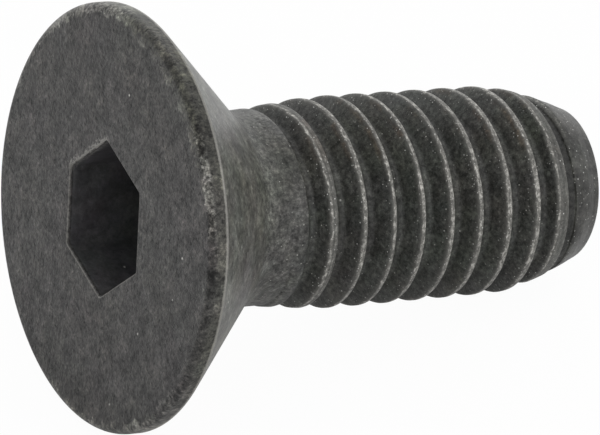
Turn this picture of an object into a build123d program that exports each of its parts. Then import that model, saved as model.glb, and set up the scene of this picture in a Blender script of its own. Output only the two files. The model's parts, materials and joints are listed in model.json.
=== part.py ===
"""Countersunk socket screw, M8 x 20, lying at rest on its head rim and its thread.

The screw is built about its own axis first: the flat of the head is at Z = 0, the
shank runs along +Z, and +X is the side that will face the floor.  It is then laid
down as it comes to rest, head towards -X.
Millimetres; the origin is on the floor, under the middle of the screw.
"""
from build123d import *
import os
from math import atan, ceil, cos, degrees, radians, sin, tan

# ---- Driving dimensions -------------------------------------------------------------
# Head, measured along the axis from its flat face
HEAD_DIAMETER = 15.80        # over the rim
RIM_EDGE_DEPTH = 0.69        # face to the edge where the rim meets the cone
RIM_ROUNDING = 0.31          # radius between the face and the rim
RIM_BEVELS = 3               # short bevels that the rounding is turned as
CONE_ANGLE = 90.0            # included angle of the countersunk seat
NECK_DIAMETER = 7.24         # plain neck, the diameter that the thread is rolled from
NECK_FILLET = 0.5            # under the head

# Hexagon socket
SOCKET_ACROSS_FLATS = 5.04
SOCKET_DEPTH = 3.4           # to the end of the flats
SOCKET_CORNER_RADIUS = 0.15
SOCKET_EDGE_BREAK = 0.07     # small bevel round the mouth
SOCKET_BOTTOM_ANGLE = 120.0  # included angle of the conical bottom
SOCKET_TURN = 40.5           # a corner of the hexagon, degrees round from the underside

# Shank and right-hand thread
SCREW_LENGTH = 19.685        # head face to end face
THREAD_DIAMETER = 7.87       # over the crests
THREAD_PITCH = 1.25
THREAD_DEPTH = 0.72          # crest to root
FLANK_ANGLE = 30.0           # each flank, from square to the axis
CREST_FLAT = THREAD_PITCH / 8
CREST_PLACE = 9.24           # where a crest crosses the underside

# Run-out under the head: the groove fades into the neck and the crests grow from it
GROOVE_START = 6.28
GROOVE_FULL_DEPTH = 6.73
CREST_START = 5.88
CREST_FULL_HEIGHT = 8.93

# Rolled point: the crests fall slightly, then more, then steeply to the end face
TAPER_START = 12.0
POINT_START = 16.6
POINT_START_DIAMETER = 7.76
POINT_SHOULDER = 18.18
POINT_SHOULDER_DIAMETER = 6.94
POINT_END_DIAMETER = 5.72
POINT_EDGE_BEVEL = 0.08

# ---- Worked out ---------------------------------------------------------------------
head_radius = HEAD_DIAMETER / 2
neck_radius = NECK_DIAMETER / 2
crest_radius = THREAD_DIAMETER / 2
root_radius = crest_radius - THREAD_DEPTH
cone_end = RIM_EDGE_DEPTH + (head_radius - neck_radius) / tan(radians(CONE_ANGLE / 2))
shoulder_radius = POINT_SHOULDER_DIAMETER / 2
end_radius = POINT_END_DIAMETER / 2
end_taper = (shoulder_radius - end_radius) / (SCREW_LENGTH - POINT_SHOULDER)

# How far the ridge of the thread reaches below the root and past the crest before it
# is joined to the body and trimmed to its outline, and how far its outline has sunk
# into the body at the end face
ridge_overlap = 0.06

# The line over the crests, from the neck to the end face, as (radius, distance)
crest_line = [
    (neck_radius, CREST_START),
    (crest_radius, CREST_FULL_HEIGHT),
    (crest_radius, TAPER_START),
    (POINT_START_DIAMETER / 2, POINT_START),
    (shoulder_radius, POINT_SHOULDER),
    (end_radius - ridge_overlap, SCREW_LENGTH),
]

# Outlines are drawn as (radius, distance from the flat of the head)
def turned(corners):
    """Revolve a closed outline about the axis of the screw."""
    return revolve(Plane.XZ * make_face(Polyline(*corners, close=True)), Axis.Z)


def crest_reach(distance):
    """Radius over the crests at a distance from the flat of the head."""
    for (radius, start), (next_radius, end) in zip(crest_line, crest_line[1:]):
        if distance <= end:
            break
    return radius + (next_radius - radius) * (distance - start) / (end - start)


# ---- Head, neck and core of the shank -----------------------------------------------
def rim_rounding():
    """Corners of the short bevels that round the rim, from the face to the rim."""
    corners = []
    for bevel in range(RIM_BEVELS + 1):
        angle = radians(90 * bevel / RIM_BEVELS)
        radius = head_radius - RIM_ROUNDING * (1 - sin(angle))
        corners.append((radius, RIM_ROUNDING * (1 - cos(angle))))
    return corners


def turned_body():
    """Everything that is round: head, seat, neck, thread root and point."""
    root_end = POINT_SHOULDER + (shoulder_radius - root_radius) / end_taper
    outline = make_face(Polyline(
        (0, 0),
        *rim_rounding(),
        (head_radius, RIM_EDGE_DEPTH),
        (neck_radius, cone_end),
        (neck_radius, GROOVE_START),
        (root_radius, GROOVE_FULL_DEPTH),
        (root_radius, root_end),
        (end_radius + end_taper * POINT_EDGE_BEVEL, SCREW_LENGTH - POINT_EDGE_BEVEL),
        (end_radius - POINT_EDGE_BEVEL, SCREW_LENGTH),
        (0, SCREW_LENGTH),
        close=True,
    ))
    neck_corner = outline.vertices().sort_by_distance((neck_radius, cone_end))[0]
    outline = fillet(neck_corner, NECK_FILLET)
    return revolve(Plane.XZ * outline, Axis.Z)


# ---- Thread -------------------------------------------------------------------------
def crest_half_width(radius):
    """Half the axial width of the ridge at a radius."""
    return CREST_FLAT / 2 + (crest_radius - radius) * tan(radians(FLANK_ANGLE))


def ridge_turn(start):
    """One turn of the ridge; its crest crosses the underside at start."""
    bottom = root_radius - ridge_overlap
    top = crest_radius + ridge_overlap
    section = Polyline(
        (bottom, start - crest_half_width(bottom)),
        (bottom, start + crest_half_width(bottom)),
        (top, start + crest_half_width(top)),
        (top, start - crest_half_width(top)),
        close=True,
    )
    turn = Pos(0, 0, start) * Helix(THREAD_PITCH, THREAD_PITCH, root_radius)
    return sweep(Plane.XZ * make_face(section), path=turn, is_frenet=True)


def thread_envelope():
    """The room that the ridge may fill: low at the neck, full, then down to the point."""
    inside_neck = (cone_end + CREST_START) / 2
    return turned([
        (0, inside_neck),
        (crest_reach(inside_neck), inside_neck),
        *crest_line[1:],
        (0, SCREW_LENGTH),
    ])


def thread():
    """The turns of the ridge from the run-out to the point, trimmed to the envelope."""
    envelope = thread_envelope()
    first_turn = ceil((cone_end - CREST_PLACE) / THREAD_PITCH)
    last_turn = ceil((SCREW_LENGTH - CREST_PLACE) / THREAD_PITCH)
    starts = [CREST_PLACE + turn * THREAD_PITCH for turn in range(first_turn, last_turn)]
    return [ridge_turn(start) & envelope for start in starts]


# ---- Hexagon socket -----------------------------------------------------------------
def hexagon(across_flats, distance):
    """A hexagon with rounded corners, square to the axis."""
    outline = RegularPolygon(across_flats / 2, 6, major_radius=False, rotation=SOCKET_TURN)
    outline = fillet(outline.vertices(), SOCKET_CORNER_RADIUS)
    return Pos(0, 0, distance) * outline


def socket():
    """The space that the key goes into, with a bevelled mouth and a conical bottom."""
    flats = extrude(hexagon(SOCKET_ACROSS_FLATS, 0), SOCKET_DEPTH)
    wide_mouth = hexagon(SOCKET_ACROSS_FLATS + 2 * SOCKET_EDGE_BREAK, 0)
    mouth = loft([wide_mouth, hexagon(SOCKET_ACROSS_FLATS, SOCKET_EDGE_BREAK)], ruled=True)
    cone_radius = SOCKET_ACROSS_FLATS / 2
    cone_depth = cone_radius / tan(radians(SOCKET_BOTTOM_ANGLE / 2))
    bottom = Cone(cone_radius, 0, cone_depth, align=(Align.CENTER, Align.CENTER, Align.MIN))
    return flats + mouth + Pos(0, 0, SOCKET_DEPTH) * bottom


# ---- Rest ---------------------------------------------------------------------------
def rest_tilt():
    """Angle of the axis below level, in degrees, when rim and thread touch the floor."""
    slopes = []
    crest = CREST_PLACE
    while crest < SCREW_LENGTH:
        half_width = crest_half_width(crest_reach(crest))
        for edge in (crest - half_width, crest + half_width):
            slopes.append((head_radius - crest_reach(edge)) / (edge - RIM_EDGE_DEPTH))
        crest += THREAD_PITCH
    return degrees(atan(min(slopes)))


def laid_down(upright):
    """Lay the screw on the floor, with the origin under the middle of its length."""
    tipped = Rot(0, 90 + rest_tilt(), 0) * upright
    box = tipped.bounding_box()
    return Pos(-box.center().X, 0, -box.min.Z) * tipped


# ---- Build --------------------------------------------------------------------------
screw = turned_body()
for turn in thread():
    screw += turn
screw -= socket()
screw = laid_down(screw)
screw.label = "countersunk_screw"

os.makedirs("parts", exist_ok=True)
export_step(screw, "parts/countersunk_screw.step")

box = screw.bounding_box()
print(f"solids {len(screw.solids())}, faces {len(screw.faces())}, valid {screw.is_valid}")
print(f"volume {screw.volume:.1f} mm3, tilt {rest_tilt():.2f} degrees")
print(f"box {box.min} to {box.max}")
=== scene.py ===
"""Countersunk socket screw, M8 x 20, black oxide steel, lying at rest.

The whole screw is one closed skin.  Python draws its outline, from the bottom of the
socket, over the face, the rim and the cone, along the shank to the end face, as one
row of points.  A Geometry Nodes tree spins that outline round the screw's axis, opens
the socket to a hexagon, and makes the rows of the shank follow the helix of the thread.
The screw is built in its own frame, in metres: the flat of the head at Z = 0, the tip
along +Z, and +X towards the floor.  Then it is laid down as it rests.
"""
import json
import logging
import math
from collections.abc import Mapping
from dataclasses import dataclass, field
from enum import Enum
from functools import partial
from typing import Any

import bpy
from mathutils import Matrix, Vector

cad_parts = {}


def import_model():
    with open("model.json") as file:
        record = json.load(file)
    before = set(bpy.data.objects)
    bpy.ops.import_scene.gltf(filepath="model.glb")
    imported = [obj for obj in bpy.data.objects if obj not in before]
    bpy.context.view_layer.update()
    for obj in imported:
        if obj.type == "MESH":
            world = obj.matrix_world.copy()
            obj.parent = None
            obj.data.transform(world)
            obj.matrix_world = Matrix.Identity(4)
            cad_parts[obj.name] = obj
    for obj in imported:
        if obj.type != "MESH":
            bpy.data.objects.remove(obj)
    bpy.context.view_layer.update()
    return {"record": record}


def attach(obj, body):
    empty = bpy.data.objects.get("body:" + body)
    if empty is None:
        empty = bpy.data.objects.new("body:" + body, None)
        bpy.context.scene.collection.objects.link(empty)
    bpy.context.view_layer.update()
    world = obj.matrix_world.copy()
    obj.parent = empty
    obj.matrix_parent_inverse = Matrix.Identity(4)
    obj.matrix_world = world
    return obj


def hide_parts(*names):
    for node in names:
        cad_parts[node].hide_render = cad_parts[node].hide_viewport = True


LOG = logging.getLogger("countersunk_screw")
MM = 0.001
NODE = "countersunk_screw"
MATH = "ShaderNodeMath"
MAP_RANGE = "ShaderNodeMapRange"
MIX = "ShaderNodeMix"
VECTOR_MATH = "ShaderNodeVectorMath"

# Where something starts and where it is full, and two levels with the values at them
Fade = tuple[float, float]
Ramp = tuple[float, float, float, float]

# How the rows of a ridge are shared out: crest up to the first, flank up to the second
CREST_SHARE = 0.18
FLANK_SHARE = 0.75

# A crest grows no wider than this share of the foot of its ridge
WIDEST_CREST = 0.9

# Greatest distance between rows on a straight run, in millimetres: in the socket and on
# the end face, and on the rim, the cone and the neck
PLAIN_SPACING = 0.3
FINE_SPACING = 0.16

# The border of the socket's mouth that is still a hexagon, in millimetres, and the share
# of the head's radius at which the rows have become round
MOUTH_BORDER = 0.25
ROUND_FROM = 0.62

# Points of the skin closer than this are one, in millimetres
SAME_PLACE = 0.001

# The lines over the crests, from the neck to the end face: where each starts and ends,
# and the radius at both, as inputs of the skin's tree
CREST_LINES = (
    ("Crest start", "Crest full height", "Neck radius", "Crest radius"),
    ("Taper start", "Point start", "Crest radius", "Point radius"),
    ("Point start", "Point shoulder", "Point radius", "Shoulder radius"),
    ("Point shoulder", "Length", "Shoulder radius", "Sunk end radius"),
)

# Attributes with the distance from the edge of the crest and past its middle, towards
# the tip, in millimetres, and their value where there is no thread
CREST_EDGE = "crest_edge"
PAST_CREST = "past_crest"
OFF_THREAD = 1.0

# Attribute with how worn the turned edges are, from 0 to 1
EDGE_WEAR = "edge_wear"


class Follow(Enum):
    """What a row of the outline follows on its way round the screw."""

    CIRCLE = 0.0
    HEXAGON = 1.0


# ---- Small tools --------------------------------------------------------------------
def linear_colour(hex_value: str) -> tuple[float, float, float, float]:
    """Turn an sRGB hex value into the linear colour that a shader takes.

    Args:
        hex_value: six hex digits, such as "4a4845".

    Returns:
        The linear red, green and blue, and full opacity.
    """
    channels = []
    for start in (0, 2, 4):
        value = int(hex_value[start:start + 2], 16) / 255
        channels.append(value / 12.92 if value <= 0.04045 else ((value + 0.055) / 1.055) ** 2.4)
    return (*channels, 1.0)


def first_open(sockets: Any) -> bpy.types.NodeSocket:
    """Return the first socket that is in use."""
    return next(socket for socket in sockets if socket.enabled)


def add_node(tree: bpy.types.NodeTree, kind: str, inputs: Any = (), **settings: Any) -> bpy.types.Node:
    """Add a node, set its properties, and fill or link its inputs.

    Args:
        tree: the tree that the node goes into.
        kind: the node's type name.
        inputs: values, sockets or nodes, by place in a sequence or by name in a mapping.
        **settings: properties of the node.

    Returns:
        The new node.
    """
    node = tree.nodes.new(kind)
    for name, value in settings.items():
        setattr(node, name, value)
    open_inputs = [socket for socket in node.inputs if socket.enabled]
    pairs = inputs.items() if isinstance(inputs, Mapping) else enumerate(inputs)
    for key, value in pairs:
        if isinstance(key, int):
            target = open_inputs[key]
        else:
            target = next(socket for socket in open_inputs if socket.name == key)
        if isinstance(value, bpy.types.Node):
            value = first_open(value.outputs)
        if isinstance(value, bpy.types.NodeSocket):
            tree.links.new(value, target)
        else:
            target.default_value = value
    return node


# ---- Outline ------------------------------------------------------------------------
@dataclass
class Row:
    """One row of the outline.  Lengths are in millimetres.

    For a helical row, distance is where its ridge crosses the first column of the skin,
    and across says where on the ridge the row is: 0 at the middle of the crest, 1 or -1
    at the middle of the groove.
    """

    radius: float
    distance: float
    follow: float = Follow.CIRCLE.value
    wear: float = 0.0
    helical: bool = False
    across: float = 1.0


@dataclass(frozen=True)
class Corner:
    """A corner of the outline, the radius that rounds it in millimetres, and its wear."""

    radius: float
    distance: float
    rounding: float = 0.0
    steps: int = 4
    wear: float = 0.0


@dataclass(frozen=True)
class Head:
    """The countersunk head, in millimetres and degrees, and the wear of its rim."""

    diameter: float = 15.80
    rim_edge_depth: float = 0.69
    rim_rounding: float = 0.31
    edge_rounding: float = 0.06
    cone_angle: float = 90.0
    rim_wear: float = 0.15
    edge_wear: float = 1.0

    @property
    def radius(self) -> float:
        """Radius over the rim."""
        return self.diameter / 2

    def cone_end(self, neck_radius: float) -> float:
        """Distance from the flat of the head at which the cone meets the neck."""
        return self.rim_edge_depth + (self.radius - neck_radius) / math.tan(
            math.radians(self.cone_angle / 2))


@dataclass(frozen=True)
class Socket:
    """The hexagon socket, in millimetres and degrees, and the wear of its mouth's edges."""

    across_flats: float = 5.04
    depth: float = 3.4
    corner_radius: float = 0.15
    edge_break: float = 0.07
    bottom_angle: float = 120.0
    turn: float = 40.5
    mouth_rounding: float = 0.03
    inner_wear: float = 0.4
    outer_wear: float = 0.65

    @property
    def apothem(self) -> float:
        """Half the distance across flats."""
        return self.across_flats / 2

    @property
    def bottom_depth(self) -> float:
        """Depth of the point of the conical bottom."""
        return self.depth + self.apothem / math.tan(math.radians(self.bottom_angle / 2))

    @property
    def corner_reach(self) -> float:
        """Distance from the axis to the middle of a rounded corner."""
        stretch = 1 / math.cos(math.radians(30))
        return self.apothem * stretch - self.corner_radius * (stretch - 1)


@dataclass(frozen=True)
class Thread:
    """The rolled thread and the shank that carries it, in millimetres and degrees."""

    diameter: float = 7.87
    pitch: float = 1.25
    depth: float = 0.72
    flank_angle: float = 30.0
    crest_place: float = 9.24
    neck_diameter: float = 7.24
    neck_fillet: float = 1.3
    groove_start: float = 6.28
    groove_full_depth: float = 6.73
    crest_start: float = 5.88
    crest_full_height: float = 8.93
    crest_rounding: float = 0.06
    root_rounding: float = 0.10
    first: float = 5.6
    last: float = 19.15
    rows_on_ridge: tuple[float, ...] = (0.0, 0.10, 0.18, 0.26, 0.36, 0.50, 0.64, 0.75, 0.86)

    @property
    def crest_radius(self) -> float:
        """Radius over the crests."""
        return self.diameter / 2

    @property
    def root_radius(self) -> float:
        """Radius at the bottom of the groove."""
        return self.crest_radius - self.depth

    @property
    def neck_radius(self) -> float:
        """Radius of the plain neck."""
        return self.neck_diameter / 2

    @property
    def crest_flat(self) -> float:
        """Width of the crest along the axis."""
        return self.pitch / 8


@dataclass(frozen=True)
class Point:
    """The rolled point, in millimetres."""

    taper_start: float = 12.0
    start: float = 16.6
    start_diameter: float = 7.76
    shoulder: float = 18.18
    shoulder_diameter: float = 6.94
    end_diameter: float = 5.72
    edge_rounding: float = 0.12
    sink: float = 0.06
    barrel: float = 0.12


@dataclass
class Outline:
    """The row of points that the skin is spun from."""

    head: Head
    socket: Socket
    thread: Thread
    point: Point
    length: float
    rows: list[Row] = field(default_factory=list)

    def add_line(self, start: Row, end: Row, count: int) -> None:
        """Add rows from start, included, towards end, left out.

        Args:
            start: first row.
            end: where the line stops.
            count: number of rows.
        """
        for step in range(count):
            share = step / count
            self.rows.append(Row(
                start.radius + (end.radius - start.radius) * share,
                start.distance + (end.distance - start.distance) * share,
                start.follow + (end.follow - start.follow) * share,
                start.wear,
            ))

    def add_rounded(self, corners: list[Corner], spacing: float, follow: float = 0.0) -> None:
        """Add rows along straight runs between corners that are rounded.

        Args:
            corners: the corners in order; the last one is left out.
            spacing: greatest distance between rows on a straight run.
            follow: what the rows follow round the screw.
        """
        leave = Vector((corners[0].radius, corners[0].distance))
        for before, corner, after in zip(corners, corners[1:], corners[2:] + [None]):
            at = Vector((corner.radius, corner.distance))
            arc: list[Vector] = []
            if after is not None and corner.rounding > 0:
                arc = self.arc_points(before, corner, after)
            arrive = arc[0] if arc else at
            count = max(1, math.ceil((arrive - leave).length / spacing))
            self.add_line(Row(*leave, follow), Row(*arrive, follow), count)
            self.rows += [Row(*place, follow, corner.wear) for place in arc]
            leave = arc[-1] if arc else at

    @staticmethod
    def arc_points(before: Corner, corner: Corner, after: Corner) -> list[Vector]:
        """Points of the arc that rounds a corner, its two ends included."""
        at = Vector((corner.radius, corner.distance))
        back = (Vector((before.radius, before.distance)) - at).normalized()
        ahead = (Vector((after.radius, after.distance)) - at).normalized()
        half_angle = back.angle(ahead) / 2
        reach = corner.rounding / math.tan(half_angle)
        centre = at + (back + ahead).normalized() * (corner.rounding / math.sin(half_angle))
        first = at + back * reach - centre
        last = at + ahead * reach - centre
        sweep = first.angle_signed(last)
        return [
            centre + Matrix.Rotation(-sweep * step / corner.steps, 2) @ first
            for step in range(corner.steps + 1)
        ]

    def add_socket(self) -> None:
        """Add the rows of the socket, from the point of its bottom to its mouth."""
        socket = self.socket
        hexagon = Follow.HEXAGON.value
        bottom = Row(0.0, socket.bottom_depth)
        cone_edge = Row(socket.apothem, socket.depth)
        self.add_line(bottom, cone_edge, count=8)
        self.add_line(cone_edge, Row(socket.apothem, socket.depth, hexagon), count=2)
        wide = socket.apothem + socket.edge_break
        rounding = socket.mouth_rounding
        self.add_rounded([
            Corner(socket.apothem, socket.depth),
            Corner(socket.apothem, socket.edge_break, rounding, steps=2, wear=socket.inner_wear),
            Corner(wide, 0.0, rounding, steps=2, wear=socket.outer_wear),
            Corner(wide + MOUTH_BORDER, 0.0),
        ], PLAIN_SPACING, hexagon)

    def add_head(self) -> None:
        """Add the rows of the face, the rim and the cone, down to the neck."""
        head = self.head
        face_start = self.socket.apothem + self.socket.edge_break + MOUTH_BORDER
        face_round = head.radius * ROUND_FROM
        self.add_line(Row(face_start, 0.0, Follow.HEXAGON.value), Row(face_round, 0.0), count=12)
        neck_radius = self.thread.neck_radius
        self.add_rounded([
            Corner(face_round, 0.0),
            Corner(head.radius, 0.0, head.rim_rounding, steps=10, wear=head.rim_wear),
            Corner(head.radius, head.rim_edge_depth, head.edge_rounding, wear=head.edge_wear),
            Corner(neck_radius, head.cone_end(neck_radius), self.thread.neck_fillet, steps=8),
            Corner(neck_radius, self.thread.first),
        ], FINE_SPACING)

    def add_thread(self) -> None:
        """Add the rows that follow the helix, enough for every turn of the ridge."""
        thread = self.thread
        half = thread.rows_on_ridge
        across = [-1.0, *[-place for place in reversed(half[1:])], *half]
        turn_at_start = self.socket.turn / 360
        first_ridge = math.floor((thread.first - thread.crest_place) / thread.pitch - turn_at_start) - 1
        last_ridge = math.ceil((thread.last - thread.crest_place) / thread.pitch - turn_at_start)
        for ridge in range(first_ridge, last_ridge + 1):
            place = thread.crest_place + (ridge + turn_at_start) * thread.pitch
            for share in across:
                self.rows.append(Row(thread.root_radius, place, helical=True, across=share))

    def add_point(self) -> None:
        """Add the rows of the end of the point and of the end face, to its middle."""
        point = self.point
        shoulder_radius = point.shoulder_diameter / 2
        end_radius = point.end_diameter / 2
        taper = (shoulder_radius - end_radius) / (self.length - point.shoulder)
        start_radius = shoulder_radius - taper * (self.thread.last - point.shoulder)
        self.add_rounded([
            Corner(start_radius, self.thread.last),
            Corner(end_radius, self.length, point.edge_rounding, steps=6),
            Corner(0.0, self.length),
        ], PLAIN_SPACING)
        self.rows.append(Row(0.0, self.length))

    def draw(self) -> bpy.types.Object:
        """Draw the outline as a mesh of one edge after another, with its rows' attributes."""
        self.add_socket()
        self.add_head()
        self.add_thread()
        self.add_point()
        mesh = bpy.data.meshes.new("screw_outline")
        places = [(row.radius * MM, 0.0, row.distance * MM) for row in self.rows]
        mesh.from_pydata(places, [(i, i + 1) for i in range(len(places) - 1)], [])
        columns = {
            "follow": [row.follow for row in self.rows],
            "wear": [row.wear for row in self.rows],
            "helical": [float(row.helical) for row in self.rows],
            "across": [row.across for row in self.rows],
        }
        for name, values in columns.items():
            mesh.attributes.new(name, "FLOAT", "POINT").data.foreach_set("value", values)
        outline = bpy.data.objects.new(NODE + "_skin", mesh)
        bpy.context.scene.collection.objects.link(outline)
        return outline


# ---- Skin ---------------------------------------------------------------------------
@dataclass
class SkinTree:
    """The Geometry Nodes tree that spins the outline into the skin of the screw.

    Every size reaches the tree as a named input of the modifier, in metres.
    """

    sizes: dict[str, float]
    tree: bpy.types.GeometryNodeTree = field(init=False)
    identifiers: dict[str, str] = field(init=False, default_factory=dict)
    given: dict[str, bpy.types.NodeSocket] = field(init=False, default_factory=dict)

    def __post_init__(self) -> None:
        """Start the tree with its inputs and its output."""
        self.tree = bpy.data.node_groups.new("screw_skin", "GeometryNodeTree")
        kinds = {"Outline": "NodeSocketGeometry", "Columns": "NodeSocketInt", "Finish": "NodeSocketMaterial"}
        for name in [*kinds, *self.sizes]:
            socket = self.tree.interface.new_socket(
                name, in_out="INPUT", socket_type=kinds.get(name, "NodeSocketFloat"))
            self.identifiers[name] = socket.identifier
        self.tree.interface.new_socket("Skin", in_out="OUTPUT", socket_type="NodeSocketGeometry")
        group_input = self.tree.nodes.new("NodeGroupInput")
        self.given = {socket.name: socket for socket in group_input.outputs}

    def add(self, kind: str, inputs: Any = (), **settings: Any) -> bpy.types.Node:
        """Add a node to this tree."""
        return add_node(self.tree, kind, inputs, **settings)

    def line_between(self, distance: Any, *names: str) -> Any:
        """A radius that changes evenly along the axis, also past both of its ends.

        Args:
            distance: distance from the flat of the head.
            *names: the inputs for where the line starts and ends, and the radius at both.

        Returns:
            The radius at the distance.
        """
        return self.add(MAP_RANGE, (distance, *(self.given[name] for name in names)), clamp=False)

    def crest_reach(self, distance: Any) -> Any:
        """Radius over the crests: it grows at the neck and sinks, barrel-shaped, to the end.

        Args:
            distance: distance from the flat of the head.

        Returns:
            The radius over the crests there.
        """
        reach: Any = self.given["Crest radius"]
        for names in CREST_LINES:
            line = self.line_between(distance, *names)
            reach = self.add(MATH, (reach, line, self.given["Barrel"]), operation="SMOOTH_MIN")
        return reach

    def core_reach(self, distance: Any) -> Any:
        """Radius of the body under the ridge: neck, groove bottom and end of the point.

        Args:
            distance: distance from the flat of the head.

        Returns:
            The radius of the body there.
        """
        given = self.given
        soft = given["Root rounding"]
        fading = self.line_between(
            distance, "Groove start", "Groove full depth", "Neck radius", "Root radius")
        ending = self.line_between(
            distance, "Point shoulder", "Length", "Shoulder radius", "End radius")
        neck = self.add(MATH, (fading, given["Neck radius"], soft), operation="SMOOTH_MIN")
        groove = self.add(MATH, (neck, given["Root radius"], soft), operation="SMOOTH_MAX")
        return self.add(MATH, (groove, ending, soft), operation="SMOOTH_MIN")

    def half_width(self, crest: Any) -> Any:
        """Half the width of the crest's flat where the crest is at a radius."""
        given = self.given
        sunk = self.add(MATH, (given["Crest radius"], crest), operation="SUBTRACT")
        wide = self.add(MATH, (sunk, given["Flank slope"], given["Half crest"]), operation="MULTIPLY_ADD")
        most = self.add(MATH, (given["Half root"], WIDEST_CREST), operation="MULTIPLY")
        return self.add(MATH, (wide, most), operation="MINIMUM")

    def row_offset(self, across: Any, crest_half: Any) -> Any:
        """Distance along the axis from the middle of the ridge to a row of it.

        Args:
            across: where the row is on the ridge, from -1 to 1.
            crest_half: half the width of the crest's flat there.

        Returns:
            The offset, with the sign of across.
        """
        given = self.given
        size = self.add(MATH, (across,), operation="ABSOLUTE")
        flank = self.add(MATH, (given["Half root"], crest_half), operation="SUBTRACT")
        half_pitch = self.add(MATH, (given["Pitch"], 0.5), operation="MULTIPLY")
        groove = self.add(MATH, (half_pitch, given["Half root"]), operation="SUBTRACT")
        offset: Any = 0.0
        bands = (
            (0.0, CREST_SHARE, crest_half),
            (CREST_SHARE, FLANK_SHARE, flank),
            (FLANK_SHARE, 1.0, groove),
        )
        for start, end, width in bands:
            part = self.add(MAP_RANGE, (size, start, end, 0.0, width))
            offset = self.add(MATH, (offset, part), operation="ADD")
        side = self.add(MATH, (across,), operation="SIGN")
        return self.add(MATH, (offset, side), operation="MULTIPLY")

    def hexagon_reach(self, turns: Any) -> Any:
        """Reach of the rounded hexagon at an angle, where half its width across flats is 1."""
        half_side, blend = 30.0, 0.01
        degrees = self.add(MATH, (turns, 360.0), operation="MULTIPLY")
        from_corner = self.add(MATH, (degrees, half_side), operation="PINGPONG")
        from_flat = self.add(MATH, (half_side, from_corner), operation="SUBTRACT")
        angle = self.add(MATH, (from_flat,), operation="RADIANS")
        cosine = self.add(MATH, (angle,), operation="COSINE")
        straight = self.add(MATH, (1.0, cosine), operation="DIVIDE")
        return self.add(MATH, (straight, self.given["Corner reach"], blend), operation="SMOOTH_MIN")

    def row_value(self, name: str, row: Any) -> Any:
        """Read an attribute of the outline at a row."""
        attribute = self.add("GeometryNodeInputNamedAttribute", (name,))
        return self.add("GeometryNodeSampleIndex", (self.given["Outline"], attribute, row))

    def build(self) -> None:
        """Lay out the grid, place its rows and columns, close it and dress it."""
        given = self.given
        row_count = self.add("GeometryNodeAttributeDomainSize", (given["Outline"],))
        column_count = self.add(MATH, (given["Columns"], 1.0), operation="ADD")
        grid = self.add("GeometryNodeMeshGrid", (1.0, 1.0, column_count, row_count))
        index = self.add("GeometryNodeInputIndex")
        row = self.add(MATH, (index, row_count), operation="MODULO")
        column_share = self.add(MATH, (index, row_count), operation="DIVIDE")
        column = self.add(MATH, (column_share,), operation="FLOOR")
        turns = self.add(MATH, (column, given["Columns"]), operation="DIVIDE")

        position = self.add("GeometryNodeInputPosition")
        place = self.add(
            "GeometryNodeSampleIndex", (given["Outline"], position, row), data_type="FLOAT_VECTOR")
        place = self.add("ShaderNodeSeparateXYZ", (place,))
        radius, distance = place.outputs["X"], place.outputs["Z"]
        helical = self.row_value("helical", row)
        rise = self.add(MATH, (turns, given["Pitch"]), operation="MULTIPLY")
        ridge_middle = self.add(MATH, (distance, rise), operation="ADD")
        crest_half = self.half_width(self.crest_reach(ridge_middle))
        offset = self.row_offset(self.row_value("across", row), crest_half)
        on_shank = self.add(MATH, (ridge_middle, offset), operation="ADD")
        on_shank = self.add("ShaderNodeClamp", (on_shank, given["First"], given["Last"]))
        along = self.add(MIX, (helical, distance, on_shank))

        whole_turns = self.add(MATH, (turns, given["Start turn"]), operation="ADD")
        crossing = self.add(
            MATH, (whole_turns, given["Pitch"], given["Crest place"]), operation="MULTIPLY_ADD")
        past_crest = self.add(MATH, (along, crossing), operation="SUBTRACT")
        half_pitch = self.add(MATH, (given["Pitch"], 0.5), operation="MULTIPLY")
        minus_half_pitch = self.add(MATH, (given["Pitch"], -0.5), operation="MULTIPLY")
        past_crest = self.add(MATH, (past_crest, half_pitch, minus_half_pitch), operation="WRAP")
        from_crest = self.add(MATH, (past_crest,), operation="ABSOLUTE")

        reach = self.crest_reach(along)
        past_flat = self.add(MATH, (given["Half crest"], from_crest), operation="SUBTRACT")
        drop = self.add(MATH, (past_flat, given["Flank slope"]), operation="DIVIDE")
        flank = self.add(MATH, (given["Crest radius"], drop), operation="ADD")
        ridge = self.add(MATH, (reach, flank, given["Crest rounding"]), operation="SMOOTH_MIN")
        shank = self.add(
            MATH, (self.core_reach(along), ridge, given["Root rounding"]), operation="SMOOTH_MAX")

        opened = self.add(MIX, (self.row_value("follow", row), 1.0, self.hexagon_reach(turns)))
        turned = self.add(MATH, (radius, opened), operation="MULTIPLY")
        final_radius = self.add(MIX, (helical, turned, shank))
        angle = self.add(MATH, (whole_turns, math.tau), operation="MULTIPLY")
        cosine = self.add(MATH, (angle,), operation="COSINE")
        sine = self.add(MATH, (angle,), operation="SINE")
        x = self.add(MATH, (final_radius, cosine), operation="MULTIPLY")
        y = self.add(MATH, (final_radius, sine), operation="MULTIPLY")
        point = self.add("ShaderNodeCombineXYZ", (x, y, along))
        skin = self.add("GeometryNodeSetPosition", {"Geometry": grid, "Position": point})

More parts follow.
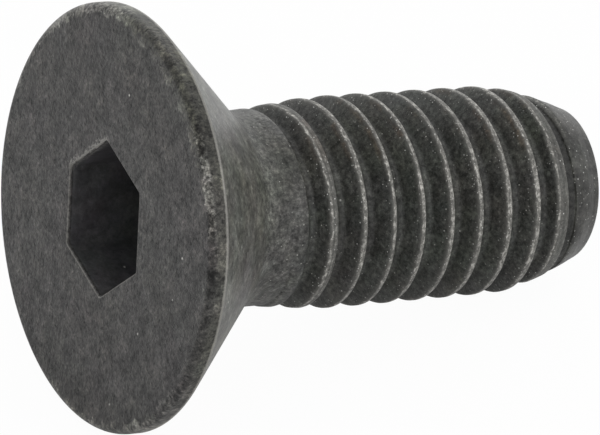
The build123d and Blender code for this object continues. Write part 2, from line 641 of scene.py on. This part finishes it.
        from_edge = self.add(MATH, (from_crest, self.half_width(reach)), operation="SUBTRACT")
        kept = {EDGE_WEAR: self.row_value("wear", row)}
        for name, length in ((CREST_EDGE, from_edge), (PAST_CREST, past_crest)):
            millimetres = self.add(MATH, (length, 1 / MM), operation="MULTIPLY")
            kept[name] = self.add(MIX, (helical, OFF_THREAD, millimetres))
        for name, value in kept.items():
            skin = self.add("GeometryNodeStoreNamedAttribute",
                            {"Geometry": skin, "Name": name, "Value": value})
        skin = self.add("GeometryNodeMergeByDistance", {"Geometry": skin, "Distance": SAME_PLACE * MM})
        skin = self.add("GeometryNodeSetShadeSmooth", {"Geometry": skin})
        skin = self.add("GeometryNodeRealizeInstances", {"Geometry": skin})
        skin = self.add("GeometryNodeSetMaterial", {"Geometry": skin, "Material": given["Finish"]})
        output = self.tree.nodes.new("NodeGroupOutput")
        self.tree.links.new(skin.outputs["Geometry"], output.inputs["Skin"])


# ---- Finish -------------------------------------------------------------------------
@dataclass(frozen=True)
class Zone:
    """A stretch of the screw, and how its coating looks there.  Lengths in millimetres.

    The zone fades in between start and full, as distances from the flat of the head.
    Grain, mottle and streak say how strongly each pattern changes the colour, and
    relief how rough the surface is under it.
    """

    start: float
    full: float
    colour: str
    grain: float
    mottle: float
    streak: float
    relief: float
    roughness: float
    hollow: bool = False


@dataclass(frozen=True)
class Patch:
    """A place on the head that something has rubbed or stained, or that carries a painted highlight or a
    painted reflection, in millimetres.

    It lies on one side of the screw, about the angle given in degrees round from the
    underside, between two distances from the axis and two from the flat of the head.
    Spots says how much of it is covered: a few spots at 0, nearly all of it at 1.
    """

    angle: float
    spread: float
    inner: float
    outer: float
    near: float
    far: float
    colour: str
    amount: float
    spots: float


@dataclass(frozen=True)
class Specks:
    """Pale specks of dust: about one in each cell of this size has this reach.

    They lie past a distance from the flat of the head, and within another of the crests.
    Lengths are in millimetres, drawn a little larger than life so that the specks show.
    """

    cell: float
    reach: float
    left_out: float
    start: float
    off_crest: float
    colour: str


@dataclass(frozen=True)
class Wear:
    """Where the coating of the thread is rubbed.  Lengths in millimetres.

    Each pair says where something starts and where it is full: along the screw for past
    neck and before end, past the middle of a crest for tip side, and otherwise from the
    edge of a crest, negative on the crest itself.  A broad crest keeps only a part of
    its wear, and so does the edge of it that is on the tip's side.
    """

    past_neck: Fade = (6.6, 7.2)
    before_end: Fade = (18.5, 18.0)
    rubbed: Fade = (0.09, -0.05)
    bare: Fade = (0.0, -0.06)
    tip_side: Fade = (-0.04, 0.10)
    tip_side_reach: float = 0.03
    far_edge: Fade = (0.10, 0.15)
    far_edge_side: Fade = (0.0, 0.10)
    broad_rubbed: Fade = (-0.09, -0.15)
    broad_bare: Fade = (-0.09, -0.14)
    rubbed_left: float = 0.5
    bare_left: float = 0.15
    wander: float = 0.4
    amount: float = 0.75
    # A pattern's low and high value, and the share of the bare line it leaves at each
    broken: Ramp = (0.46, 0.58, 0.2, 1.0)
    dotted: Ramp = (0.42, 0.62, 0.3, 1.6)


@dataclass(frozen=True)
class EdgeWear:
    """Where the coating of the turned edges is rubbed off, by their wear from 0 to 1.

    The fringe lies beside the edges, on the side given in degrees round from the
    underside and across.
    """

    amount: float = 0.4
    ragged: float = 0.6
    worn: Fade = (0.25, 0.8)
    fringe_side: tuple[float, float] = (131.0, 38.0)
    fringe_ragged: float = 1.8
    fringe_worn: Fade = (0.12, 0.4)
    fringe_reach: Fade = (0.0, 0.1)


@dataclass(frozen=True)
class SurfaceTree:
    """The nodes that say where on the screw a point of its surface is."""

    tree: bpy.types.NodeTree
    own: Any
    along: Any
    radius: Any
    outward: Any
    crest_edge: Any
    past_crest: Any
    edge_wear: Any

    def add(self, kind: str, inputs: Any = (), **settings: Any) -> bpy.types.Node:
        """Add a node to the material."""
        return add_node(self.tree, kind, inputs, **settings)

    def share(self, *limits: tuple[Any, float, float], times: tuple[Any, ...] = ()) -> Any:
        """Say how far a point lies within some limits, from 0 to 1.

        Args:
            *limits: a measure, where it starts to count and where it counts in full.
            times: what the share is multiplied by.

        Returns:
            The share.
        """
        total: Any = 1.0
        for limit in limits:
            part = self.add(MAP_RANGE, (*limit, 0.0, 1.0), interpolation_type="SMOOTHSTEP")
            total = self.add(MATH, (total, part), operation="MULTIPLY")
        for factor in times:
            total = self.add(MATH, (total, factor), operation="MULTIPLY")
        return total

    def side(self, angle: float, spread: float) -> Any:
        """Pick out the side of the screw at an angle, in degrees round from the underside."""
        turn, edge = math.radians(angle), math.cos(math.radians(spread))
        towards = (math.cos(turn), math.sin(turn), 0.0)
        facing = self.add(VECTOR_MATH, (self.outward, towards), operation="DOT_PRODUCT")
        return self.share((facing.outputs["Value"], edge, (1 + edge) / 2))

    def stray(self, measure: Any, pattern: Any, reach: float) -> Any:
        """Let a measure stray with a pattern, by up to half the reach either way."""
        aside = self.add(MATH, (pattern, reach, -reach / 2), operation="MULTIPLY_ADD")
        return self.add(MATH, (measure, aside), operation="ADD")

    def paint(self, colour: Any, layers: list[tuple[Any, str]]) -> Any:
        """Lay colours over a colour, each by its own share, one after the other."""
        for share, hex_value in layers:
            colour = self.add(MIX, {"Factor": share, "A": colour, "B": linear_colour(hex_value)},
                              data_type="RGBA")
        return colour


@dataclass(frozen=True)
class BlackOxide:
    """Black oxide on forged and rolled steel, lightly oiled and a little worn.

    The coating is a satin film of magnetite, made by boiling the steel in a salt bath:
    nearly black, with a fine grain from the tumbled blank, and glossy at a glancing
    angle.  It is thinner and greyer on the seat and the neck, and rubbed through on the
    crests and the sharp edges, where the steel shows.  Sizes are in millimetres.
    """

    face: str = "2a2826"
    rubbed: str = "504f4b"
    bare: str = "bcbab4"
    rust: str = "4d3d2c"
    # Painted shade, laid into the groove by the point
    groove_shade: str = "141412"
    face_grain: float = 6.0
    face_mottle: float = 7.5
    face_relief: float = 1.0
    face_roughness: float = 0.38
    tint: float = 0.3
    # start, full, colour, grain, mottle, streak, relief, roughness
    zones: tuple[Zone, ...] = (
        Zone(0.03, 0.15, "434344", 0.8, 3.0, 0.0, 0.2, 0.45, hollow=True),
        Zone(0.10, 0.40, "3c3b35", 5.0, 7.0, 0.0, 0.6, 0.40),
        Zone(0.67, 0.73, "4f4f4a", 3.6, 4.8, 0.08, 0.2, 0.34),
        Zone(3.50, 5.50, "3e3e3a", 5.0, 5.2, 0.0, 0.5, 0.42),
        Zone(6.45, 6.80, "393a36", 4.2, 3.4, 0.0, 0.4, 0.50),
        Zone(18.35, 18.50, "2e2e2b", 1.8, 6.0, 0.0, 0.3, 0.36),
    )
    # angle, spread, inner, outer, near, far, colour, amount, spots
    patches: tuple[Patch, ...] = (
        # Painted highlight: a paler patch on the upper rim, where it catches the light
        Patch(150.0, 32.0, 7.52, 8.4, -0.1, 0.8, "5f5e58", 0.75, 0.9),
        # Painted reflection: a paler patch on the lower rim, where it mirrors the floor
        Patch(330.0, 42.0, 7.55, 8.4, -0.1, 0.8, "62615b", 0.5, 0.6),
        Patch(199.0, 36.0, 7.44, 8.4, -0.1, 0.64, "32312a", 0.9, 1.05),
        Patch(199.0, 28.0, 7.29, 7.42, -0.1, 0.1, "5a5953", 0.6, 0.7),
        Patch(228.0, 17.0, 7.66, 8.4, -0.1, 0.20, "6e6d67", 0.75, 0.75),
    )
    # cell, reach, left out, start, off crest, colour
    specks: tuple[Specks, ...] = (
        Specks(0.19, 0.032, 0.60, 4.6, 2.0, "b8b7b1"),
        Specks(0.12, 0.030, 0.60, 7.0, 0.20, "dededa"),
        Specks(0.85, 0.060, 0.70, 0.0, 2.0, "d8d6d0"),
    )
    thread_wear: Wear = field(default_factory=Wear)
    edge_wear: EdgeWear = field(default_factory=EdgeWear)
    # Where the outside begins: beside the socket, and past its bottom
    socket_side: Fade = (3.0, 3.2)
    socket_end: Fade = (4.9, 5.0)
    # Rust, and the painted shade in the groove by the point: the side they are on, as an angle and a spread,
    # and the levels of a pattern and the distances at which they start and are full
    rust_side: tuple[float, float] = (180.0, 40.0)
    rust_blotch: Fade = (0.50, 0.58)
    rust_off_crest: Fade = (0.15, 0.03)
    rust_start: Fade = (7.0, 7.5)
    rust_end: Fade = (18.0, 17.6)
    rust_amount: float = 0.4
    # Painted shade in the groove by the point: how far off the crests, and the distances at which it starts
    # and ends
    groove_shade_off_crest: Fade = (0.06, 0.16)
    groove_shade_start: Fade = (17.7, 18.0)
    groove_shade_end: Fade = (18.9, 18.7)
    groove_shade_amount: float = 0.8
    bare_metallic: float = 0.8
    pit_level: Fade = (0.44, 0.34)
    pit_darkness: float = 0.9
    pit_depth: float = 0.15
    # The least and the greatest change of the colour, and the gloss at each
    gloss: Ramp = (-1.6, 0.4, 0.25, 0.56)
    # The real grain and pits are finer than a render from a few steps away can show, so
    # they are drawn coarser
    grain_size: float = 0.18
    mottle_size: float = 0.9
    blotch_size: float = 2.5
    wear_size: float = 0.13
    fray_size: float = 0.45
    streak_size: float = 0.35
    scuff_size: float = 0.10
    streaks_round: float = 1.6
    pit_size: float = 0.20
    relief_depth: float = 0.07
    grain_relief: float = 0.2

    @staticmethod
    def survey(tree: bpy.types.NodeTree, lay: Matrix) -> SurfaceTree:
        """Find where a point is in the screw's own millimetres, whatever way it lies.

        Args:
            tree: the material's tree.
            lay: how the screw lies, from its own frame to the floor's.

        Returns:
            The tree with the places found.
        """
        add = partial(add_node, tree)
        coordinates = add("ShaderNodeTexCoord")
        own = add("ShaderNodeMapping", {
            "Vector": coordinates.outputs["Object"], "Location": lay.to_translation(),
            "Rotation": lay.to_euler(), "Scale": (MM, MM, MM)}, vector_type="TEXTURE")
        along = add("ShaderNodeSeparateXYZ", (own,)).outputs["Z"]
        outward = add(VECTOR_MATH, (own, (1.0, 1.0, 0.0)), operation="MULTIPLY")
        radius = add(VECTOR_MATH, (outward,), operation="LENGTH").outputs["Value"]
        outward = add(VECTOR_MATH, (outward,), operation="NORMALIZE")
        crest_edge, past_crest, edge_wear = (
            add("ShaderNodeAttribute", attribute_name=name).outputs["Fac"]
            for name in (CREST_EDGE, PAST_CREST, EDGE_WEAR))
        return SurfaceTree(tree, own, along, radius, outward, crest_edge, past_crest, edge_wear)

    def draw_patterns(self, at: SurfaceTree) -> dict[str, Any]:
        """Draw the patterns that break up the coating, each about a half on average."""
        # Streaks and scuffs run round the screw, left by turning, rolling and tumbling;
        # they meet at its underside
        sides = at.add("ShaderNodeSeparateXYZ", (at.outward,))
        upside = at.add(MATH, (sides.outputs["X"], -1.0), operation="MULTIPLY")
        angle = at.add(MATH, (sides.outputs["Y"], upside), operation="ARCTAN2")
        turned = at.add(MATH, (angle, self.streaks_round), operation="MULTIPLY")
        spread = at.add("ShaderNodeCombineXYZ", (turned, at.radius, at.along))
        # place, size, detail, roughness
        drawn = {
            "grain": (at.own, self.grain_size, 3.0, 0.8),
            "mottle": (at.own, self.mottle_size, 5.0, 0.85),
            "blotch": (at.own, self.blotch_size, 3.0, 0.7),
            "scratch": (at.own, self.wear_size, 3.0, 0.7),
            "fray": (at.own, self.fray_size, 4.0, 0.6),
            "pits": (at.own, self.pit_size, 2.0, 0.6),
            "streak": (spread, self.streak_size, 4.0, 0.7),
            "scuff": (spread, self.scuff_size, 4.0, 0.7),
        }
        patterns = {
            name: at.add("ShaderNodeTexNoise", {
                "Vector": place, "Scale": 1 / size, "Detail": detail, "Roughness": roughness})
            for name, (place, size, detail, roughness) in drawn.items()
        }
        tints = patterns["blotch"].outputs["Color"]
        return {name: node.outputs[0] for name, node in patterns.items()} | {"tints": tints}

    def find_wear(self, at: SurfaceTree, patterns: dict[str, Any]) -> tuple[Any, Any]:
        """Find where the coating is rubbed thin, and where the steel is bare.

        Args:
            at: where on the screw a point is.
            patterns: the patterns that break up the wear.

        Returns:
            How rubbed and how bare the surface is, each from 0 to 1.
        """
        wear = self.thread_wear
        along_thread = ((at.along, *wear.past_neck), (at.along, *wear.before_end))

        # The crests: a rubbed band that reaches a little further on the tip's side, and a
        # broken bare line along it.  Where the crest is broad, the line follows the edge
        # on the head's side, and the rest is only dulled
        edge = at.stray(at.crest_edge, patterns["mottle"], wear.wander)
        tip_side = at.share((at.past_crest, *wear.tip_side))
        edge = at.add(MATH, (tip_side, -wear.tip_side_reach, edge), operation="MULTIPLY_ADD")
        from_middle = at.add(MATH, (at.past_crest,), operation="ABSOLUTE")
        half_width = at.add(MATH, (from_middle, at.crest_edge), operation="SUBTRACT")
        far_edge = at.share((half_width, *wear.far_edge), (at.past_crest, *wear.far_edge_side))
        dulled = at.add(MAP_RANGE, (at.crest_edge, *wear.broad_rubbed, 1.0, wear.rubbed_left))
        hardly = at.add(MAP_RANGE, (far_edge, 0.0, 1.0, 1.0, wear.rubbed_left))
        rubbed = at.share((edge, *wear.rubbed), *along_thread, times=(dulled, hardly))
        broad = at.add(MAP_RANGE, (at.crest_edge, *wear.broad_bare, 1.0, wear.bare_left))
        one_sided = at.add(MAP_RANGE, (far_edge, 0.0, 1.0, 1.0, wear.bare_left))
        broken = at.add(MAP_RANGE, (patterns["scuff"], *wear.broken))
        dotted = at.add(MAP_RANGE, (patterns["grain"], *wear.dotted))
        bare = at.share((edge, *wear.bare), *along_thread,
                        times=(broad, one_sided, broken, dotted, wear.amount))

        # The turned edges, and a fringe beside one side of the socket's mouth
        rim = self.edge_wear
        ragged = at.stray(at.edge_wear, patterns["scratch"], rim.ragged)
        edges = at.share((ragged, *rim.worn), times=(rim.amount,))
        flaked = at.stray(at.edge_wear, patterns["scratch"], rim.fringe_ragged)
        fringe = at.share((flaked, *rim.fringe_worn), (at.edge_wear, *rim.fringe_reach),
                          times=(at.side(*rim.fringe_side), rim.amount))
        for worn in (edges, fringe):
            bare = at.add(MATH, (bare, worn), operation="MAXIMUM")
        return rubbed, bare

    @staticmethod
    def cover(at: SurfaceTree, patch: Patch, patterns: dict[str, Any]) -> Any:
        """How much of a patch shows at a point: it frays at its edges and is spotty."""
        fray_reach, soft, spot_edge, mottle_share = 0.8, 0.06, 0.12, 0.5
        radius = at.stray(at.radius, patterns["fray"], fray_reach)
        spotty = at.add(MATH, (patterns["mottle"], mottle_share, patterns["fray"]), operation="MULTIPLY_ADD")
        few, nearly_all = 0.87, 0.60
        threshold = few + (nearly_all - few) * patch.spots
        return at.share(
            (radius, patch.inner - soft, patch.inner + soft),
            (radius, patch.outer + soft, patch.outer - soft),
            (at.along, patch.near - soft, patch.near + soft),
            (at.along, patch.far + soft, patch.far - soft),
            (spotty, threshold - spot_edge, threshold + spot_edge),
            times=(at.side(patch.angle, patch.spread), patch.amount),
        )

    def lay_zones(self, at: SurfaceTree) -> tuple[Any, dict[str, Any]]:
        """Lay down the coating zone by zone: in the socket's hollow, then along the outside.

        Args:
            at: where on the screw a point is.

        Returns:
            The colour, and the level of each pattern, of the relief and of the roughness.
        """
        beside_socket = at.add(MAP_RANGE, (at.radius, *self.socket_side, 0.0, 1.0))
        past_socket = at.add(MAP_RANGE, (at.along, *self.socket_end, 0.0, 1.0))
        outside = at.add(MATH, (beside_socket, past_socket), operation="MAXIMUM")
        inside = at.add(MATH, (1.0, outside), operation="SUBTRACT")
        colour: Any = linear_colour(self.face)
        levels: dict[str, Any] = {
            "grain": self.face_grain, "mottle": self.face_mottle, "streak": 0.0,
            "relief": self.face_relief, "roughness": self.face_roughness}
        for zone in self.zones:
            where = inside if zone.hollow else outside
            share = at.share((at.along, zone.start, zone.full), times=(where,))
            colour = at.paint(colour, [(share, zone.colour)])
            for name in levels:
                levels[name] = at.add(MIX, (share, levels[name], getattr(zone, name)))
        return colour, levels

    def find_stains_and_painted_light(self, at: SurfaceTree, patterns: dict[str, Any]) -> list[tuple[Any, str]]:
        """Find the patches of the head, two of them a painted highlight and a painted reflection on the rim,
        the rust of the thread, and the painted shade in its groove by the point.

        Args:
            at: where on the screw a point is.
            patterns: the patterns that break up the patches and the rust.

        Returns:
            The share that each patch, the rust and the painted shade covers at a point, with its colour.
        """
        # A trace of rust on the crests along the top, and none on the point
        rusty = at.share(
            (patterns["blotch"], *self.rust_blotch), (at.crest_edge, *self.rust_off_crest),
            (at.along, *self.rust_start), (at.along, *self.rust_end),
            times=(at.side(*self.rust_side), self.rust_amount))
        # Painted shade: the half-closed groove by the point is darkened off its crests, nearly to black
        shaded_groove = at.share(
            (at.crest_edge, *self.groove_shade_off_crest),
            (at.along, *self.groove_shade_start), (at.along, *self.groove_shade_end),
            times=(self.groove_shade_amount,))
        stains_and_highlights = [(self.cover(at, patch, patterns), patch.colour) for patch in self.patches]
        return [*stains_and_highlights, (rusty, self.rust), (shaded_groove, self.groove_shade)]

    def build(self, lay: Matrix) -> bpy.types.Material:
        """Build the material.

        Args:
            lay: how the screw lies, from its own frame to the floor's.

        Returns:
            The material.
        """
        material = bpy.data.materials.new("black_oxide_on_rolled_steel")
        material.use_nodes = True
        tree = material.node_tree
        shader = tree.nodes["Principled BSDF"]
        at = self.survey(tree, lay)
        patterns = self.draw_patterns(at)
        rubbed, bare = self.find_wear(at, patterns)
        colour, levels = self.lay_zones(at)
        # The patches, the rust and the painted shade in the groove by the point; two patches are a painted
        # highlight and a painted reflection on the rim
        colour = at.paint(colour, self.find_stains_and_painted_light(at, patterns))

        # The patterns darken and lighten the coating by even ratios
        change: Any = 0.0
        for name in ("grain", "mottle", "streak"):
            centred = at.add(MATH, (patterns[name], 0.5), operation="SUBTRACT")
            change = at.add(MATH, (centred, levels[name], change), operation="MULTIPLY_ADD")
        pitted = at.share((patterns["pits"], *self.pit_level), times=(levels["relief"],))
        change = at.add(MATH, (pitted, -self.pit_darkness, change), operation="MULTIPLY_ADD")
        value = at.add(MATH, (change,), operation="EXPONENT")
        tint = (self.tint, self.tint, self.tint)
        plain = (1 - self.tint / 2,) * 3
        tints = at.add(VECTOR_MATH, (patterns["tints"], tint, plain), operation="MULTIPLY_ADD")
        colour = at.add(VECTOR_MATH, (colour, tints), operation="MULTIPLY")
        colour = at.add(VECTOR_MATH, {0: colour, "Scale": value}, operation="SCALE")
        dust = [(self.scatter(at, specks), specks.colour) for specks in self.specks]
        colour = at.paint(colour, [(rubbed, self.rubbed), (bare, self.bare), *dust])
        tree.links.new(first_open(colour.outputs), shader.inputs["Base Color"])

        # Gloss and relief; dark grain is rougher still, and takes some of the gloss away
        tree.links.new(first_open(levels["roughness"].outputs), shader.inputs["Roughness"])
        metallic = at.add(MATH, (bare, self.bare_metallic), operation="MULTIPLY")
        tree.links.new(metallic.outputs[0], shader.inputs["Metallic"])
        rough = at.add(
            MATH, (patterns["grain"], self.grain_relief, patterns["mottle"]), operation="MULTIPLY_ADD")
        rough = at.add(MATH, (rough, levels["relief"]), operation="MULTIPLY")
        rough = at.add(MATH, (pitted, -self.pit_depth, rough), operation="MULTIPLY_ADD")
        relief = at.add("ShaderNodeBump", {
            "Height": rough, "Strength": 1.0, "Distance": self.relief_depth * MM})
        tree.links.new(relief.outputs[0], shader.inputs["Normal"])
        gloss = at.add(MAP_RANGE, (change, *self.gloss))
        tree.links.new(gloss.outputs[0], shader.inputs["Specular IOR Level"])
        return material

    @staticmethod
    def scatter(at: SurfaceTree, specks: Specks) -> Any:
        """Scatter specks over the surface, brighter and fainter ones with soft edges."""
        full_at, begins_over = 0.4, 0.1
        cells = at.add("ShaderNodeTexVoronoi", {"Vector": at.own, "Scale": 1 / specks.cell})
        reach = specks.reach / specks.cell
        speck = at.add(MAP_RANGE, (cells.outputs["Distance"], reach, full_at * reach, 0.0, 1.0))
        chosen = at.add("ShaderNodeSeparateColor", (cells.outputs["Color"],)).outputs["Red"]
        chosen = at.add(MAP_RANGE, (chosen, specks.left_out, 1.0, 0.0, 1.0))
        return at.share((at.along, specks.start - begins_over, specks.start),
                        (at.crest_edge, specks.off_crest, specks.off_crest / 2),
                        times=(speck, chosen))


# ---- Screw --------------------------------------------------------------------------
@dataclass
class Screw:
    """The countersunk socket screw: its sizes, and how its skin is made and laid down."""

    head: Head = field(default_factory=Head)
    socket: Socket = field(default_factory=Socket)
    thread: Thread = field(default_factory=Thread)
    point: Point = field(default_factory=Point)
    finish: BlackOxide = field(default_factory=BlackOxide)
    length: float = 19.685
    columns: int = 240

    def skin_sizes(self) -> dict[str, float]:
        """The skin tree's inputs: lengths in metres, the rest in turns or plain numbers."""
        thread, point, socket = self.thread, self.point, self.socket
        slope = math.tan(math.radians(thread.flank_angle))
        millimetres = {
            "Pitch": thread.pitch,
            "Crest place": thread.crest_place,
            "Half crest": thread.crest_flat / 2,
            "Half root": thread.crest_flat / 2 + thread.depth * slope,
            "Crest radius": thread.crest_radius,
            "Root radius": thread.root_radius,
            "Neck radius": thread.neck_radius,
            "Groove start": thread.groove_start,
            "Groove full depth": thread.groove_full_depth,
            "Crest start": thread.crest_start,
            "Crest full height": thread.crest_full_height,
            "Taper start": point.taper_start,
            "Point start": point.start,
            "Point radius": point.start_diameter / 2,
            "Point shoulder": point.shoulder,
            "Shoulder radius": point.shoulder_diameter / 2,
            "End radius": point.end_diameter / 2,
            "Sunk end radius": point.end_diameter / 2 - point.sink,
            "Length": self.length,
            "First": thread.first,
            "Last": thread.last,
            "Crest rounding": thread.crest_rounding,
            "Root rounding": thread.root_rounding,
            "Barrel": point.barrel,
        }
        plain = {
            "Flank slope": slope,
            "Start turn": socket.turn / 360,
            "Corner reach": socket.corner_reach / socket.apothem,
        }
        return {name: size * MM for name, size in millimetres.items()} | plain

    @staticmethod
    def lay(mount: dict[str, Any]) -> Matrix:
        """How the screw lies, from its own frame to the floor's.

        Args:
            mount: the record's mount at the middle of the socket's mouth.

        Returns:
            The matrix that lays the screw down.
        """
        tip = -Vector(mount["axis"])
        turn = Matrix.Rotation(math.atan2(tip.x, tip.z), 4, "Y")
        return Matrix.Translation(mount["pos_m"]) @ turn

    def build(self, lay: Matrix) -> bpy.types.Object:
        """Build the skin, lay it down and dress it.

        Args:
            lay: how the screw lies, from its own frame to the floor's.

        Returns:
            The finished piece.
        """
        piece = Outline(self.head, self.socket, self.thread, self.point, self.length).draw()
        skin = SkinTree(self.skin_sizes())
        skin.build()
        modifier = piece.modifiers.new("skin", "NODES")
        modifier.node_group = skin.tree
        values = skin.sizes | {"Columns": self.columns, "Finish": self.finish.build(lay)}
        for name, value in values.items():
            modifier[skin.identifiers[name]] = value
        graph = bpy.context.evaluated_depsgraph_get()
        mesh = bpy.data.meshes.new_from_object(
            piece.evaluated_get(graph), preserve_all_data_layers=True, depsgraph=graph)
        piece.modifiers.remove(modifier)
        mesh.materials.pop(index=0)  # the empty slot that the undressed outline came with
        piece.data = mesh
        mesh.name = piece.name
        mesh.transform(lay)
        return piece


# ---- Studio -------------------------------------------------------------------------
@dataclass(frozen=True)
class Softbox:
    """A soft patch of extra light in the sky.  Angles in degrees.

    It is at full strength within the inner angle of its direction, and fades out to
    nothing at the outer angle.
    """

    direction: tuple[float, float, float]
    strength: float
    inner: float
    outer: float


@dataclass
class Studio:
    """A pale floor, soft light and the camera.  Angles in degrees, lengths in millimetres."""

    azimuth: float = -27.67
    elevation: float = 36.085
    aim: tuple[float, float, float] = (-0.832, 0.0, 5.141)
    distance: float = 321.75
    lens: float = 522.1
    sensor: float = 36.0
    floor_size: float = 4000.0
    floor_colour: str = "eeeeee"
    floor_roughness: float = 0.9
    seen_white: float = 0.965
    mirrored_white: float = 0.15
    sky_strength: float = 0.62
    softboxes: tuple[Softbox, ...] = (
        Softbox((0.35, 0.90, 0.20), 0.75, 15.0, 65.0),
        Softbox((0.45, -0.65, 0.60), 0.60, 20.0, 75.0),
    )

    def build_floor(self) -> bpy.types.Object:
        """Build the floor that the screw lies on."""
        half = self.floor_size / 2 * MM
        mesh = bpy.data.meshes.new("floor")
        corners = [(-half, -half, 0), (half, -half, 0), (half, half, 0), (-half, half, 0)]
        mesh.from_pydata(corners, [], [(0, 1, 2, 3)])
        floor = bpy.data.objects.new("floor", mesh)
        bpy.context.scene.collection.objects.link(floor)
        material = bpy.data.materials.new("matt_white_paper")
        material.use_nodes = True
        tree = material.node_tree
        shader = tree.nodes["Principled BSDF"]
        shader.inputs["Base Color"].default_value = linear_colour(self.floor_colour)
        shader.inputs["Roughness"].default_value = self.floor_roughness
        mesh.materials.append(material)

        # Seen directly the paper is nearly pure white, with a faint shadow; it is less so
        # where the steel mirrors it
        ray = add_node(tree, "ShaderNodeLightPath")
        whitened: Any = 0.0
        for name, white in (("Is Camera Ray", self.seen_white), ("Is Transmission Ray", self.seen_white),
                            ("Is Glossy Ray", self.mirrored_white)):
            share = add_node(tree, MATH, (ray.outputs[name], white), operation="MULTIPLY")
            whitened = add_node(tree, MATH, (whitened, share), operation="MAXIMUM")
        white = add_node(tree, "ShaderNodeEmission", {"Color": (1.0, 1.0, 1.0, 1.0), "Strength": 1.0})
        paper = add_node(tree, "ShaderNodeMixShader", (whitened, shader, white))
        tree.links.new(paper.outputs[0], tree.nodes["Material Output"].inputs["Surface"])
        return floor

    def build_light(self) -> None:
        """Light the screw from all round, like in a light tent with brighter panels."""
        world = bpy.data.worlds.new("light_tent")
        world.use_nodes = True
        tree = world.node_tree
        towards = add_node(tree, "ShaderNodeTexCoord").outputs["Generated"]
        level: Any = self.sky_strength
        for softbox in self.softboxes:
            direction = Vector(softbox.direction).normalized()
            facing = add_node(tree, VECTOR_MATH, (towards, direction), operation="DOT_PRODUCT")
            ends = [math.cos(math.radians(angle)) for angle in (softbox.outer, softbox.inner)]
            glow = add_node(tree, MAP_RANGE, (facing.outputs["Value"], *ends, 0.0, softbox.strength),
                            interpolation_type="SMOOTHSTEP")
            level = add_node(tree, MATH, (level, glow), operation="ADD")
        background = tree.nodes["Background"]
        background.inputs["Color"].default_value = (1.0, 1.0, 1.0, 1.0)
        tree.links.new(level.outputs[0], background.inputs["Strength"])
        bpy.context.scene.world = world

    def build_camera(self) -> bpy.types.Object:
        """Place the camera, looking down on the screw."""
        azimuth, elevation = math.radians(self.azimuth), math.radians(self.elevation)
        back = Vector((
            math.sin(azimuth) * math.cos(elevation),
            -math.cos(azimuth) * math.cos(elevation),
            math.sin(elevation),
        ))
        camera = bpy.data.objects.new("camera", bpy.data.cameras.new("camera"))
        camera.data.lens = self.lens
        camera.data.sensor_width = self.sensor
        camera.location = (Vector(self.aim) + back * self.distance) * MM
        camera.rotation_mode = "QUATERNION"
        camera.rotation_quaternion = (-back).to_track_quat("-Z", "Y")
        bpy.context.scene.collection.objects.link(camera)
        bpy.context.scene.camera = camera
        return camera


# ---- Main ---------------------------------------------------------------------------
def main() -> None:
    """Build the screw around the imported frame, then the studio."""
    logging.basicConfig(level=logging.INFO, format="%(message)s")
    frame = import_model()
    bpy.context.scene.view_settings.view_transform = "Standard"

    socket_mount = next(m for m in frame["record"]["mounts"] if m["name"] == "hexagon_socket")
    lay = Screw.lay(socket_mount)
    skin = Screw().build(lay)
    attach(skin, "root")
    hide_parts(NODE)
    skin.data.calc_loop_triangles()
    LOG.info("%s: %d triangles", skin.name, len(skin.data.loop_triangles))

    studio = Studio()
    studio.build_floor()
    studio.build_light()
    studio.build_camera()
    LOG.info("studio: floor, light and camera")


if __name__ == "__main__":
    main()
